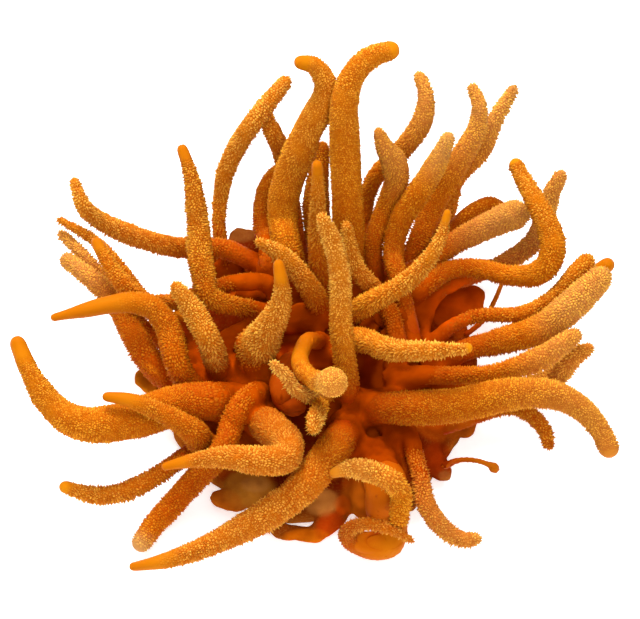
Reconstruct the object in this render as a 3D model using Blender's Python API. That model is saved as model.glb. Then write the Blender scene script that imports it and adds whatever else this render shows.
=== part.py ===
"""A bunch of cultivated cordyceps, cut from its substrate: orange club-shaped fingers on one domed pad.

The pad stands on its flat cut face, centred on the origin, with +Z up and -Y towards the front.
Every finger grows out of the pad and is a solid of its own. Its route was drawn over a front view from
above, so each of its points is a place on that view and a height over the table.
"""

import math

import bmesh
import bpy
import numpy as np
from mathutils import Vector, noise

MM = 0.001

# The pad, in metres: a dome with full shoulders, whose widest line lies a little over the cut face.
PAD_WIDTH = 0.048
PAD_DEPTH = 0.0485
PAD_HEIGHT = 0.0125
PAD_BELT_HEIGHT = 0.0035
PAD_SHOULDER = 2.8
PAD_SEGMENTS = 32
PAD_ROWS = 14
LUMP_HEIGHT = 0.0008
LUMP_SPACING = 0.011

# The front view that the routes are drawn on: a grid whose steps are this long at the aim point.
VIEW_STEP = 0.00015
VIEW_CENTRE = (320, 309.5)
VIEW_ELEVATION = math.radians(52)
EYE_DISTANCE = 0.45
AIM = Vector((0.0002, 0.0013, 0.020))

# Clearances between neighbouring solids, and how the fingers make room for each other.
GAP = 0.0003
TABLE_GAP = 0.0003
CLOSENESS = 2.1
SAMPLES = 26
SETTLE_ROUNDS = 130
SIDEWAYS_EASE = 0.15
SMOOTHING_PASSES = 2
ROOT_SHARE = 0.18

# The tubes: rings go where the finger bends or swells most, and its end narrows over the last rings. Flat
# sides look narrower than round ones, so the tubes are made this much wider.
FINE_SAMPLES = 101
SHAPE_TOLERANCE = 0.00036
MOST_RINGS = 12
FACET_ALLOWANCE = 1.03
TUBE_RESOLUTION = 2
TIP_ROUNDING = ((0.0, 0.45),)
# The routes are drawn to the middle of the rounded tip, which reaches this much further.
TIP_REACH = 0.0003

ORANGE = (0.72, 0.22, 0.02, 1.0)
PAD_ORANGE = (0.60, 0.27, 0.09, 1.0)

# name: (thicknesses evenly spaced from root to tip, in view steps,
#        (across, down, height in mm) of points from root to tip)
FINGERS = {
    # back
    "finger_back_tall": ((27, 31, 32, 31, 27, 20), (
        (354, 288, 11), (350, 245, 19), (347, 195, 27), (345, 145, 34), (344, 105, 40), (353, 75, 44),
        (373, 56, 46), (398, 49, 47))),
    "finger_back_hook": ((26, 29, 32, 32, 26, 14), (
        (289, 277, 9.5), (283, 235, 16), (284, 195, 22), (299, 155, 29), (310, 120, 35), (320, 90, 40),
        (322, 72, 43), (311, 64.5, 44), (296, 62, 45))),
    "finger_back_bulge": ((20, 22, 21, 19, 14), (
        (268, 268, 9), (264, 235, 13), (264, 200, 17), (271, 179, 20), (281, 166, 22))),
    "finger_back_left_tall": ((19, 14, 16, 20, 21, 20, 16), (
        (226, 272, 7), (219, 235, 12), (221, 195, 17), (228, 165, 22), (243, 137, 27), (262, 111, 31),
        (276, 93, 33), (288, 78, 34))),
    "finger_back_left_short": ((17, 19, 20, 20, 19, 14), (
        (302, 270, 9), (294, 225, 13), (288, 190, 17), (283, 155, 22), (271, 129, 27), (259, 101, 30))),
    "finger_back_dark": ((24, 27, 28, 24, 15), (
        (325, 275, 10), (317, 225, 16), (317, 185, 20), (323, 143, 24))),
    "finger_back_right_leaf": ((17, 16, 18, 21, 21, 13), (
        (358, 262, 9), (364, 218, 12), (371, 184, 17), (396, 157, 22), (415, 132, 27), (426, 108, 31),
        (424, 88, 33), (418, 73, 34))),
    "finger_back_right_claw": ((20, 20, 21, 26, 25, 12), (
        (370, 285, 11), (373, 245, 16), (388, 208, 21), (397, 183, 25), (395, 164, 28), (384.5, 147, 31),
        (378, 129, 33))),
    "finger_back_right_thick": ((16, 16, 20, 23, 24, 23, 15), (
        (414, 345, 11), (409, 318, 13), (400, 285, 15), (393, 252, 17), (400, 218, 21), (419, 190, 26),
        (437, 162, 30), (450, 134, 34))),
    "finger_back_right_tall": ((15, 17, 22, 25, 25, 20, 12), (
        (410, 320, 7), (413, 280, 9), (421, 240, 13), (434, 203, 17), (453, 170, 22), (470, 142, 26),
        (480, 118, 29), (478, 101, 31), (471, 85, 32))),
    "finger_back_right_far": ((18, 19, 20, 21, 21, 18, 13), (
        (412, 302, 8), (427, 268, 9), (434, 240, 10), (441, 205, 13), (459, 173, 17), (480, 152, 20),
        (491, 129, 24), (502, 107, 27), (515, 87, 29))),
    "finger_back_right_low": ((18, 18, 18, 18, 16), (
        (412, 290, 8), (430, 256, 8.5), (450, 233, 9), (470, 214, 12), (490, 204, 13), (504, 212, 12))),
    "finger_back_right_blunt": ((18, 20, 23, 27, 31), (
        (398, 300, 10), (420, 270, 12), (446, 248, 13.5), (475, 232, 16), (502, 219, 19), (527, 212, 21))),
    # right
    "finger_right_crook": ((21, 20, 19, 20, 24, 27, 22, 16), (
        (398, 302, 9), (430, 279, 12), (458, 268, 14), (485, 273, 16), (516, 276, 18), (543, 271, 21),
        (553, 250, 24), (549, 228, 26), (538, 206, 28), (525, 185, 29), (514, 160, 31))),
    "finger_right_behind_crook": ((16, 16, 18, 21, 20, 15), (
        (424, 306, 7), (452, 287, 9), (480, 273, 10.5), (512, 258, 13), (532, 243, 16), (542, 216, 20),
        (551, 193, 23), (563, 172, 26))),
    "finger_right_upper": ((15, 14, 15, 18, 21, 19), (
        (432, 345, 10), (455, 324, 12), (485, 315, 14), (520, 314, 16), (549, 302, 18), (567, 284, 20),
        (579, 270, 22), (591, 257, 23))),
    "finger_right_smooth_tip": ((16, 16, 17, 18, 16), (
        (446, 352, 7), (482, 342, 9), (520, 328, 11), (556, 305, 14), (586, 279, 18), (612, 262, 21))),
    "finger_right_thick": ((19, 22, 27, 31, 31, 25), (
        (432, 362, 9), (465, 350, 12), (500, 341, 14), (536, 331, 17), (561, 314, 20), (584, 294, 23),
        (607, 271, 25))),
    "finger_right_middle": ((18, 18, 18, 20, 25, 18), (
        (402, 375, 11), (440, 372, 13), (475, 373, 15), (510, 369, 17), (541, 358, 19), (561, 345, 21),
        (579, 333, 22))),
    "finger_right_behind_arm": ((20, 21, 23, 25, 24, 13), (
        (440, 395, 7), (480, 388, 9), (520, 388, 10), (548, 382, 12), (562, 369, 15), (574, 356, 18),
        (592, 347, 20))),
    "finger_right_arm": ((27, 33, 36, 35, 32, 30, 23, 20), (
        (366, 406, 10.5), (402, 408, 16), (440, 407, 18), (480, 401, 20), (515, 394, 22), (546, 393, 22),
        (573, 403, 21), (593, 420, 19), (606, 441, 17), (611, 456, 16))),
    "finger_right_under_arm": ((18, 18, 19, 17, 13), (
        (435, 430, 6), (478, 414, 9), (511, 407, 10), (532, 416, 10), (545, 431, 9), (549, 448, 8))),
    "thread_right_low": ((8, 6, 6, 6, 9), (
        (446, 464, 6), (458, 460.5, 6.8), (472, 460, 8), (488, 464, 8), (497, 470, 7))),
    "thread_right_high": ((6, 6, 5), (
        (452, 346, 6), (478, 326, 7.5), (491, 308, 9.5), (498, 292, 11), (504, 278, 12))),
    # front
    "finger_front_right": ((22, 18, 19, 20, 19, 15), (
        (408, 428, 10), (415, 455, 11), (420, 485, 10), (428, 508, 8), (443, 527, 5.5), (460, 539, 4),
        (480, 538, 4))),
    "finger_front_arch": ((21, 22, 23, 24, 22, 19, 9), (
        (399, 509, 11.5), (402, 499, 13.5), (397, 489, 15.5), (388, 478.5, 17.5), (370, 471, 18),
        (350, 468, 19), (331, 474, 18))),
    "finger_front_curl": ((40, 43, 44, 42, 36, 32, 30, 22, 15, 14, 13, 8), (
        (378, 452, 6), (380, 480, 8), (381, 505, 7.2), (391, 527, 5), (389, 543, 3.8), (372, 545, 3.6),
        (356, 542, 3.8), (347, 535, 6), (352, 527, 8.6), (370, 524, 10), (392, 529, 10.5),
        (413, 541.5, 9))),
    "finger_front_spear": ((32, 35, 36, 33, 27, 19, 9), (
        (350, 432, 9), (328, 456, 15), (303, 487, 15), (271, 512, 13), (236, 532, 10), (195, 551, 8),
        (160, 562, 6), (131, 567, 4))),
    "finger_front_elbow": ((22, 29, 36, 34, 28, 19, 8), (
        (256, 416, 8.5), (270, 427, 16), (287, 444, 19), (283, 459, 20), (258, 460, 21), (228, 457, 20),
        (195, 460, 18), (163, 467, 17))),
    "finger_front_left_low": ((16, 17, 19, 21, 19, 13), (
        (218, 439, 7), (190, 455, 9), (168, 467, 9), (145, 482, 8), (120, 493, 7), (95, 495, 6.5),
        (76, 490, 8), (61, 486, 9))),
    "finger_front_left_knob": ((22, 23, 25, 25, 25, 24, 21), (
        (262, 384, 9), (246, 404, 13.8), (226, 432, 13.5), (206, 463, 11.5), (184, 493, 8), (158, 520, 5),
        (137, 549, 3))),
    "finger_front_left_horn": ((20, 28, 28, 23, 17, 10), (
        (222, 452, 5.5), (209, 449, 9), (196, 433, 15.5), (172, 418, 18.5), (148, 407, 20), (124, 399, 21),
        (104, 396.5, 21))),
    # left
    "finger_left_boomerang": ((32, 38, 41, 40, 37, 30, 22, 16), (
        (240, 392, 8.5), (200, 400, 13.5), (160, 412, 15), (120, 422, 16), (85, 424, 17), (60, 413, 18),
        (42, 392, 19.5), (28, 368, 22), (15.5, 338, 24))),
    "finger_left_needle": ((24, 26, 26, 26, 23, 19, 14, 8), (
        (196, 388, 9), (182, 376, 15.5), (175, 356, 17), (170, 334, 18.5), (161, 316, 20), (144, 304, 21.5),
        (118, 303.5, 22), (86, 310, 21.5), (52, 318, 20))),
    "finger_left_cone": ((20, 23, 25, 25, 25, 23, 15), (
        (234, 382, 8.5), (222, 366, 12), (215, 350, 16.5), (206, 334, 21), (196, 315, 23), (185, 299, 25),
        (174, 284, 27))),
    "finger_left_orange": ((18, 17, 17, 18, 20, 19, 12), (
        (280, 297, 10.5), (268, 284, 13.5), (250, 281, 14.5), (228, 284, 15), (200, 294, 15),
        (172, 302, 15), (148, 303, 17), (130, 291, 19.5), (117, 276, 21), (106, 259, 22.5), (95, 239, 24))),
    "finger_left_far": ((15, 15, 15, 15, 13, 9), (
        (200, 338, 8), (178, 323, 10), (158, 311, 12), (143, 297, 13.5), (129, 280, 15), (115, 262, 17),
        (98, 243, 18), (78, 230, 19), (58, 219, 20))),
    "finger_left_twin": ((14, 15, 16, 16, 14, 11), (
        (172, 352, 6), (140, 323, 9.5), (122, 301, 12), (107, 284, 14), (93, 268, 16), (77, 250, 17),
        (60, 232, 17))),
    "finger_left_thick": ((26, 28, 28, 26, 23, 20, 18), (
        (196, 382, 8), (172, 379, 10), (155, 367, 12), (140, 346, 14), (127, 321, 15), (114, 300, 15.5),
        (98, 285, 16), (82, 270, 17), (65, 257, 17))),
    "finger_left_upright": ((20, 18, 20, 25, 26, 23, 17, 11), (
        (268, 313, 10.5), (245, 307, 15), (224, 303, 18), (209, 296, 20), (203, 275, 22), (200, 245, 24.5),
        (197, 215, 27), (193, 188, 30), (189, 168, 32), (181, 146, 34))),
    "finger_left_long": ((20, 20, 20, 21, 21, 19, 11), (
        (275, 262, 9), (240, 252, 12), (205, 249, 13), (170, 246, 14), (140, 238, 16), (113, 227, 18),
        (94, 217, 20), (82, 203, 23), (74, 179, 25))),
    # crown
    "finger_crown_spindle": ((22, 24, 24, 23, 22, 21, 14), (
        (346, 402, 10), (345, 378, 16), (343, 352, 22), (341, 325, 28), (341, 295, 33), (339, 268, 37),
        (332, 240, 41), (321, 215, 45))),
    "finger_crown_tall": ((20, 23, 20, 18, 15, 11), (
        (324, 298, 12), (319, 264, 19), (317, 240, 23), (318, 213, 28), (318, 188, 33), (317, 162, 37))),
    "finger_crown_club": ((26, 38, 40, 32, 23, 17, 11), (
        (252, 364, 9), (255, 354, 13.5), (264, 336, 19.5), (275, 315, 24), (282, 296, 28), (281, 279, 31),
        (278, 261, 33))),
    "finger_crown_left_blunt": ((26, 23, 22, 20, 11), (
        (324, 312, 11), (307, 284, 19), (292, 265, 22), (275, 250, 25), (257, 241, 27))),
    "finger_crown_nub": ((18, 19, 20, 20, 18, 15, 12), (
        (404, 352, 11), (398, 331, 13.5), (388, 310, 15.5), (374, 291, 18), (361, 275, 21), (353, 256, 24),
        (349, 240, 26.5), (346, 223, 29))),
    "finger_crown_right_up": ((22, 22, 22, 20, 15, 8), (
        (348, 316, 12), (368, 303, 20), (390, 292, 23), (412, 277, 26), (430, 257, 29), (441, 236, 32),
        (448, 211, 35))),
    "finger_crown_right": ((20, 24, 24, 23, 19, 10), (
        (346, 334, 12), (364, 340, 19), (384, 348, 22), (410, 351, 25), (440, 349, 27), (471, 348, 28))),
    "finger_crown_to_viewer": ((20, 18, 17, 18, 19, 21, 25), (
        (326, 336, 12), (308, 341, 17), (300, 357, 21), (304, 373, 24.5), (317, 381, 28), (329, 382, 31),
        (338, 382, 33.5))),
    "finger_crown_fork_upper": ((16, 17, 17, 15, 12), (
        (332, 394, 9), (324, 395, 16), (312, 395, 21.5), (298, 386, 25), (285, 374, 28), (272, 362.5, 30))),
    "finger_crown_fork_lower": ((17, 19, 20, 18, 12), (
        (317, 407, 21), (317, 412, 22), (315, 421, 23), (312, 432, 23))),
    "finger_crown_dark_bow": ((24, 27, 28, 27, 25, 20), (
        (303, 384, 8.5), (289, 379, 13), (280, 390, 14.5), (283, 404, 14), (294, 413, 12.5),
        (304, 414, 10.5))),
    # out of sight of the front view
    "finger_rear_middle": ((22, 22, 20, 17, 11), (
        (345, 262, 5), (347, 235, 6), (348, 205, 10), (347, 175, 15), (346, 148, 19))),
    "finger_rear_left": ((18, 18, 16, 14, 10), (
        (285, 272, 5), (286, 240, 7), (288, 210, 11), (294, 182, 16), (303, 152, 20))),
    "finger_rear_right": ((20, 19, 18, 16, 11), (
        (418, 300, 4), (431, 272, 4), (441, 240, 6), (450, 205, 9), (462, 165, 15))),
    "finger_rear_low_left": ((18, 18, 16, 11), (
        (240, 283, 4), (222, 262, 4), (200, 250, 6), (175, 249, 9))),
    "finger_rear_low_middle": ((20, 20, 17, 11), (
        (322, 268, 4), (322, 235, 4), (321, 205, 7), (320, 178, 11))),
}

# Lobes of the pad's rim, drawn in the same way. They are joined into the pad.
LOBES = {
    "loop": ((24, 28, 19, 15, 20, 16), (
        (346, 498, 4), (331, 520, 3), (315, 535, 2.2), (296, 534, 2.2), (278, 530, 2.6), (262, 512, 4))),
    "stub": ((22, 22, 20), (
        (352, 478, 5), (338, 491, 5), (322, 506, 4))),
    "small_stub": ((13, 13, 12), (
        (352, 488, 5), (347, 500, 4.5), (343, 510, 3.5))),
    "flap": ((26, 27, 14), (
        (255, 490, 4), (234, 500, 4), (211, 497, 4.5))),
    "brown_stub": ((16, 15, 12), (
        (405, 480, 3.5), (410, 500, 2.4), (413, 511, 2.2))),
    "right_wall": ((30, 30, 17), (
        (422, 446, 5), (436, 463, 5), (447, 478, 3))),
    "right_flank": ((40, 38, 28), (
        (440, 402, 5), (458, 420, 4.5), (470, 434, 4))),
    "right_shoulder": ((44, 42, 34), (
        (430, 325, 6.5), (455, 305, 5.5), (479, 292, 4.5))),
    "left_bulge": ((36, 36, 32), (
        (172, 378, 5), (152, 378, 6), (135, 377, 6))),
    "back_bump": ((44, 40, 28), (
        (262, 262, 6), (248, 246, 6.5), (234, 227, 7))),
    "back_bump_right": ((34, 30, 22), (
        (312, 256, 6.5), (306, 240, 7), (302, 228, 7.5))),
    "back_corner": ((36, 36, 28), (
        (384, 290, 6), (396, 264, 6), (403, 244, 6))),
    "left_shoulder": ((34, 30, 22), (
        (207, 332, 4.5), (190, 321, 4.5), (177, 312, 4.5))),
}


def sight_frame():
    """Right, up and towards-the-eye directions of the front view."""
    right = Vector((1, 0, 0))
    up = Vector((0, math.sin(VIEW_ELEVATION), math.cos(VIEW_ELEVATION)))
    toward = Vector((0, -math.cos(VIEW_ELEVATION), math.sin(VIEW_ELEVATION)))
    return right, up, toward


def seen_at(across, down, height_mm):
    """The point at that height over the table that the front view shows at that place."""
    right, up, toward = sight_frame()
    eye = AIM + toward * EYE_DISTANCE
    on_view = AIM + right * ((across - VIEW_CENTRE[0]) * VIEW_STEP) + up * ((VIEW_CENTRE[1] - down) * VIEW_STEP)
    ray = on_view - eye
    return eye + ray * ((height_mm * MM - eye.z) / ray.z)


def smooth_route(points, count):
    """The Catmull-Rom curve through the points, as evenly spaced samples."""
    ends = [2 * points[0] - points[1], *points, 2 * points[-1] - points[-2]]
    fine = []
    for a, b, c, d in zip(ends, ends[1:], ends[2:], ends[3:]):
        for t in np.linspace(0, 1, 12, endpoint=False):
            fine.append(0.5 * (2 * b + (c - a) * t + (2 * a - 5 * b + 4 * c - d) * t**2
                               + (3 * b - a - 3 * c + d) * t**3))
    fine.append(ends[-2])
    return evenly(np.array(fine), count)


def evenly(line, count):
    """The line resampled to count evenly spaced points."""
    along = np.concatenate([[0], np.cumsum(np.linalg.norm(np.diff(line, axis=0), axis=1))])
    at = np.linspace(0, along[-1], count)
    return np.stack([np.interp(at, along, line[:, k]) for k in range(3)], axis=1)


def drawn(table):
    """(centre lines, radii) of the drawn fingers, as arrays of SAMPLES points each."""
    share = np.linspace(0, 1, SAMPLES)
    toward = np.array(sight_frame()[2])
    lines, radii = [], []
    for widths, route in table.values():
        points = [np.array(seen_at(*point)) for point in route]
        points[-1] += (points[-1] - points[-2]) / np.linalg.norm(points[-1] - points[-2]) * TIP_REACH
        line = smooth_route(points, SAMPLES)
        nearness = 1 - (line - np.array(AIM)) @ toward / EYE_DISTANCE
        width = np.interp(share, np.linspace(0, 1, len(widths)), widths) * VIEW_STEP
        lines.append(line)
        radii.append(width * nearness / 2 * FACET_ALLOWANCE)
    return np.array(lines), np.array(radii)


def pad_frame(points):
    """The points in the pad's own scale, in which its surface lies at reach 1, and that reach."""
    centre = np.array([0, 0, PAD_BELT_HEIGHT])
    half = np.array([PAD_WIDTH / 2, PAD_DEPTH / 2, PAD_HEIGHT - PAD_BELT_HEIGHT])
    scaled = (points - centre) / half
    across = np.hypot(scaled[..., 0], scaled[..., 1])
    reach = (across**PAD_SHOULDER + np.abs(scaled[..., 2])**PAD_SHOULDER)**(1 / PAD_SHOULDER)
    return scaled, np.maximum(reach, 1e-9), half


def pad_slope(points):
    """The gradient of the pad's reach at each point."""
    scaled, reach, half = pad_frame(points)
    across = np.maximum(np.hypot(scaled[..., 0], scaled[..., 1]), 1e-9)
    flat = scaled[..., :2] / across[..., None] * (across**(PAD_SHOULDER - 1))[..., None]
    rise = np.sign(scaled[..., 2]) * np.abs(scaled[..., 2])**(PAD_SHOULDER - 1)
    return np.concatenate([flat, rise[..., None]], axis=-1) / (reach**(PAD_SHOULDER - 1))[..., None] / half


def pad_depth_at(points):
    """How far each point lies inside the smooth pad, in metres; negative outside."""
    return (1 - pad_frame(points)[1]) / np.linalg.norm(pad_slope(points), axis=-1)


def pad_outward(points):
    """The direction straight out of the pad at each point."""
    out = pad_slope(points)
    return out / np.linalg.norm(out, axis=-1, keepdims=True)


def settle(lines, radii, fixed_lines, fixed_radii):
    """Moves the fingers apart until none touches another, the table, a lobe or, past its root, the pad.

    A push runs mostly along the line of sight, so the front view hardly changes.
    """
    count = len(lines)
    every = np.concatenate([lines, fixed_lines])
    radius = np.concatenate([radii, fixed_radii]).reshape(-1)
    owner = np.repeat(np.arange(len(every)), SAMPLES)
    frame = np.array(sight_frame())
    ease = frame.T @ np.diag([SIDEWAYS_EASE, SIDEWAYS_EASE, 1.0]) @ frame
    apart = radius[:, None] + radius[None, :] + GAP * CLOSENESS
    other = owner[:, None] != owner[None, :]
    share = np.linspace(0, 1, SAMPLES)
    for _ in range(SETTLE_ROUNDS):
        flat = every.reshape(-1, 3)
        outside = pad_depth_at(flat) < 0.0015
        between = flat[:, None, :] - flat[None, :, :]
        distance = np.linalg.norm(between, axis=2) + 1e-12
        short = np.where(other & outside[:, None] & outside[None, :], apart - distance, 0)
        first, second = np.nonzero(short > 0)
        normal = between[first, second] / distance[first, second][:, None]
        eased = normal @ ease
        push = eased * (short[first, second] / (2 * np.einsum("ij,ij->i", normal, eased)))[:, None]
        total = np.zeros_like(flat)
        weight = np.zeros(len(flat))
        np.add.at(total, first, push)
        np.add.at(weight, first, 1)
        move = (total / np.maximum(weight, 1)[:, None]).reshape(-1, SAMPLES, 3)[:count]
        low = np.maximum(0, radii + TABLE_GAP - every[:count, :, 2])
        move[:, :, 2] += low
        sunk = np.maximum(0, pad_depth_at(every[:count]) + radii + GAP * 2) * (share > ROOT_SHARE)
        move += pad_outward(every[:count]) * (sunk * 0.5)[:, :, None]
        for _ in range(SMOOTHING_PASSES):
            padded = np.concatenate([move[:, :1], move, move[:, -1:]], axis=1)
            move = (padded[:, :-2] + 2 * padded[:, 1:-1] + padded[:, 2:]) / 4
        every[:count] += move
    return every[:count]


def material(name, colour):
    made = bpy.data.materials.new(name)
    made.use_nodes = True
    shader = made.node_tree.nodes["Principled BSDF"]
    shader.inputs["Base Color"].default_value = colour
    shader.inputs["Roughness"].default_value = 0.7
    shader.inputs["Metallic"].default_value = 0.0
    return made


def ring_places(line, radii):
    """The samples that carry a ring: the worst fitting one is added until all fit within the tolerance."""
    shape = np.concatenate([line, radii[:, None]], axis=1)
    everywhere = np.arange(len(line))
    chosen = [0, len(line) - 1]
    while len(chosen) < MOST_RINGS:
        fitted = np.stack([np.interp(everywhere, chosen, shape[chosen, k]) for k in range(4)], axis=1)
        miss = np.linalg.norm(shape - fitted, axis=1)
        if miss.max() < SHAPE_TOLERANCE:
            break
        chosen = sorted([*chosen, int(miss.argmax())])
    return chosen


def rings_of(line, radii):
    """Centres and radii of the rings, the last ones narrowing to a blunt tip over about one radius."""
    fine = smooth_route(list(line), FINE_SAMPLES)
    wide = np.interp(np.linspace(0, 1, FINE_SAMPLES), np.linspace(0, 1, len(radii)), radii)
    length = np.linalg.norm(np.diff(fine, axis=0), axis=1).sum()
    shoulder = int(round((1 - radii[-1] * 0.85 / length) * (FINE_SAMPLES - 1)))
    chosen = ring_places(fine[:shoulder + 1], wide[:shoulder + 1])
    at = np.array(chosen + [(1 - radii[-1] * back / length) * (FINE_SAMPLES - 1) for back, _ in TIP_ROUNDING])
    centres = np.stack([np.interp(at, np.arange(FINE_SAMPLES), fine[:, k]) for k in range(3)], axis=1)
    widths = np.interp(at, np.arange(FINE_SAMPLES), wide)
    widths[len(chosen):] *= [narrowing for _, narrowing in TIP_ROUNDING]
    return centres, widths


def tube(name, line, radii):
    """A closed tapering tube as a mesh object."""
    curve = bpy.data.curves.new(name, "CURVE")
    curve.dimensions = "3D"
    curve.bevel_depth = 1.0
    curve.bevel_resolution = TUBE_RESOLUTION
    curve.use_fill_caps = True
    centres, widths = rings_of(line, radii)
    spline = curve.splines.new("POLY")
    spline.points.add(len(centres) - 1)
    for point, centre, width in zip(spline.points, centres, widths):
        point.co = (*centre, 1)
        point.radius = width
    guide = bpy.data.objects.new(name + "_curve", curve)
    bpy.context.scene.collection.objects.link(guide)
    mesh = bpy.data.meshes.new_from_object(guide.evaluated_get(bpy.context.evaluated_depsgraph_get()))
    bpy.data.objects.remove(guide)
    shell = bmesh.new()
    shell.from_mesh(mesh)
    bmesh.ops.remove_doubles(shell, verts=shell.verts, dist=1e-6)
    bmesh.ops.recalc_face_normals(shell, faces=shell.faces)
    shell.to_mesh(mesh)
    shell.free()
    mesh.shade_smooth()
    return bpy.data.objects.new(name, mesh)


def pad_mesh(name, grow=0.0):
    """The lumpy dome, cut flat at the table. grow pushes its surface out, for a cutter that leaves a gap."""
    dome = bmesh.new()
    bmesh.ops.create_uvsphere(dome, u_segments=PAD_SEGMENTS, v_segments=PAD_ROWS, radius=1)
    centre = np.array([0, 0, PAD_BELT_HEIGHT])
    for vert in dome.verts:
        direction = np.array(vert.co.normalized()) * np.array(pad_frame(centre)[2])
        place = centre + direction / pad_frame(centre + direction)[1]
        lump = noise.noise(Vector(place / LUMP_SPACING)) * LUMP_HEIGHT * 2
        vert.co = place + pad_outward(place) * (lump + grow)
    bmesh.ops.bisect_plane(
        dome, geom=[*dome.verts, *dome.edges, *dome.faces], plane_co=(0, 0, -grow), plane_no=(0, 0, 1),
        clear_inner=True)
    bmesh.ops.holes_fill(dome, edges=[edge for edge in dome.edges if edge.is_boundary])
    bmesh.ops.recalc_face_normals(dome, faces=dome.faces)
    mesh = bpy.data.meshes.new(name)
    dome.to_mesh(mesh)
    dome.free()
    mesh.shade_smooth()
    return bpy.data.objects.new(name, mesh)


def boolean(obj, other, operation):
    modifier = obj.modifiers.new(operation.lower() + "_" + other.name, "BOOLEAN")
    modifier.operation = operation
    modifier.object = other


def helper(obj, collection):
    """Keeps a cutter or a joined lobe out of the finished object."""
    collection.objects.link(obj)
    obj.hide_render = True
    obj.display_type = "WIRE"
    return obj


def main():
    for obj in list(bpy.data.objects):
        bpy.data.objects.remove(obj)
    scene = bpy.context.scene.collection
    bunch = bpy.data.collections.new("cordyceps_bunch")
    helpers = bpy.data.collections.new("cutters")
    scene.children.link(bunch)
    scene.children.link(helpers)

    lobe_lines, lobe_radii = drawn(LOBES)
    lines, radii = drawn(FINGERS)
    lines = settle(lines, radii, lobe_lines, lobe_radii)

    pad = pad_mesh("pad")
    pad.data.materials.append(material("pad_flesh", PAD_ORANGE))
    bunch.objects.link(pad)
    for name, line, radius in zip(LOBES, lobe_lines, lobe_radii):
        boolean(pad, helper(tube("lobe_" + name, line, radius), helpers), "UNION")

    clearing = helper(pad_mesh("pad_clearing", GAP), helpers)
    for name, line, radius in zip(FINGERS, lines, radii):
        finger = tube(name, line, radius)
        finger.data.materials.append(material(name + "_flesh", ORANGE))
        bunch.objects.link(finger)
        boolean(finger, clearing, "DIFFERENCE")


main()
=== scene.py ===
"""The looks of a bunch of cultivated cordyceps: grainy orange fingers on one lumpy pad.

Each finger's centre line and thickness come from its solid in the frame. Its skin is a fine net of
grains: every grain is a small pointed peak, and the valleys between the grains lie a little deeper.
"""

import math

import bmesh
import bpy
import numpy as np
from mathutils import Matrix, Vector, noise
from mathutils.bvhtree import BVHTree


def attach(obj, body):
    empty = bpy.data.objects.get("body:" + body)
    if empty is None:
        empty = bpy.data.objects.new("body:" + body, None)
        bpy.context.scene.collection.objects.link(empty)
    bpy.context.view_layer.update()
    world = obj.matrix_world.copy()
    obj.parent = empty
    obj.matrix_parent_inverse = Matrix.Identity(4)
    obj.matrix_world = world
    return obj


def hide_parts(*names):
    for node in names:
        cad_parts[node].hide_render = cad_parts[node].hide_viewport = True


MM = 0.001
TURN = 2 * math.pi
# Guards against a division by zero and against an angle of no size.
TINY = 1e-9
LEAST = 1e-6

# How the solids are read. Their flat sides stand proud of the drawn thickness by FACET_ALLOWANCE. Every ring
# has RING_SIDES corners, and the last one is TIP_RING_SHARE of the finger's radius there.
FACET_ALLOWANCE = 1.03
RING_SIDES = 8
TIP_RING_SHARE = 0.45
SAME_PLACE = 2e-6
SAME_PLANE = 0.99995
PAD_HEART = (0, 0, 0.004)

# Samples on a finger's centre line, on a limb between the roots and between two given points of a curve.
LINE_SAMPLES = 240
LIMB_SAMPLES = 18
CURVE_STEPS = 24

# How a finger's line is carried on into the base, in mm: its first step, the dive below it towards the heart
# of the pad, and the only step of a finger that grows out of another one.
ROOT_STEP = 1.2
ROOT_DIVE = 3.0
DIVE_HEIGHT = 4
DIVE_PULL = 1.4
DIVE_SHARE = 0.5
BRANCH_STEP = 2.5

# A direction along which no finger's root runs, to begin the side directions with.
SLANTED = (0.31, 0.22, 0.93)
# Each finger has its own place in the noise.
SEED_RANGE = (-50, 50)
# How uneven a finger's thickness is, how wide its swellings are in metres, and how many samples are averaged.
THICKNESS_CHANGE = 0.07
THICKNESS_SPOT = 0.0035
AVERAGED = 9
# The rounding of a tip: its length in radii, its longest as a share of the finger, and its bluntness.
TIP_RADII = 1.25
TIP_SHARE = 0.3
TIP_BLUNTNESS = 2.2
# How many radii off its end a tip begins to swell and is fully swollen.
SWELL_RANGE = (3.0, 1.4)

# The pitches and heights of the grains in LOOKS are multiplied by these.
PITCH_SCALE = 0.98
HEIGHT_SCALE = 1.45
# The pitch of the grains at the foot of a stem, in mm.
STEM_PITCH = 0.62
# How far over the pad, in mm, a stem begins to be grainy and is fully so, and how grainy it is at its foot.
STEM_GROWTH = (0.5, 6.0)
FOOT_ROUGHNESS = 0.15
# Where the grains begin below a smooth tip and are full, as shares of its length, and its least length.
SMOOTH_TIP_RANGE = (0.45, 1.25)
SHORTEST_TIP = 0.5
# Rows of grains stand ROW_STEP spacings apart. A row has FEWEST grains or more, but the first one has a
# single grain, and so has a thin one less than LAST_ROW spacings from the end.
ROW_STEP = 0.866
FEWEST = 3
LAST_ROW = 0.6
# How far grains stray round the finger and along it, as shares of the spacing, in rows of more than STEADY.
STRAY_ROUND = 0.48
STRAY_ALONG = 0.8
STEADY = 4
# The grains' heights, the share of large ones and what these have extra, and how far a grain leans.
SIZE_RANGE = (0.25, 1.0)
SIZE_POWER = 0.8
LARGE_SHARE = 0.12
LARGE_EXTRA = 0.5
LEAN_SPREAD = 0.24
# Grains that face less than UNDERSIDE upwards are larger, on pale fingers more so.
UNDERSIDE = 0.3
UNDERSIDE_EXTRA = (0.2, 0.35)
# Patches of higher and lower grains: their size in metres, their strength and the range they keep to.
PATCHY_SPOT = 0.0022
PATCHY_HEIGHT = 0.45
PATCHY_RANGE = (0.4, 1.4)
PATCHY_TONE = 0.6
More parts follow.
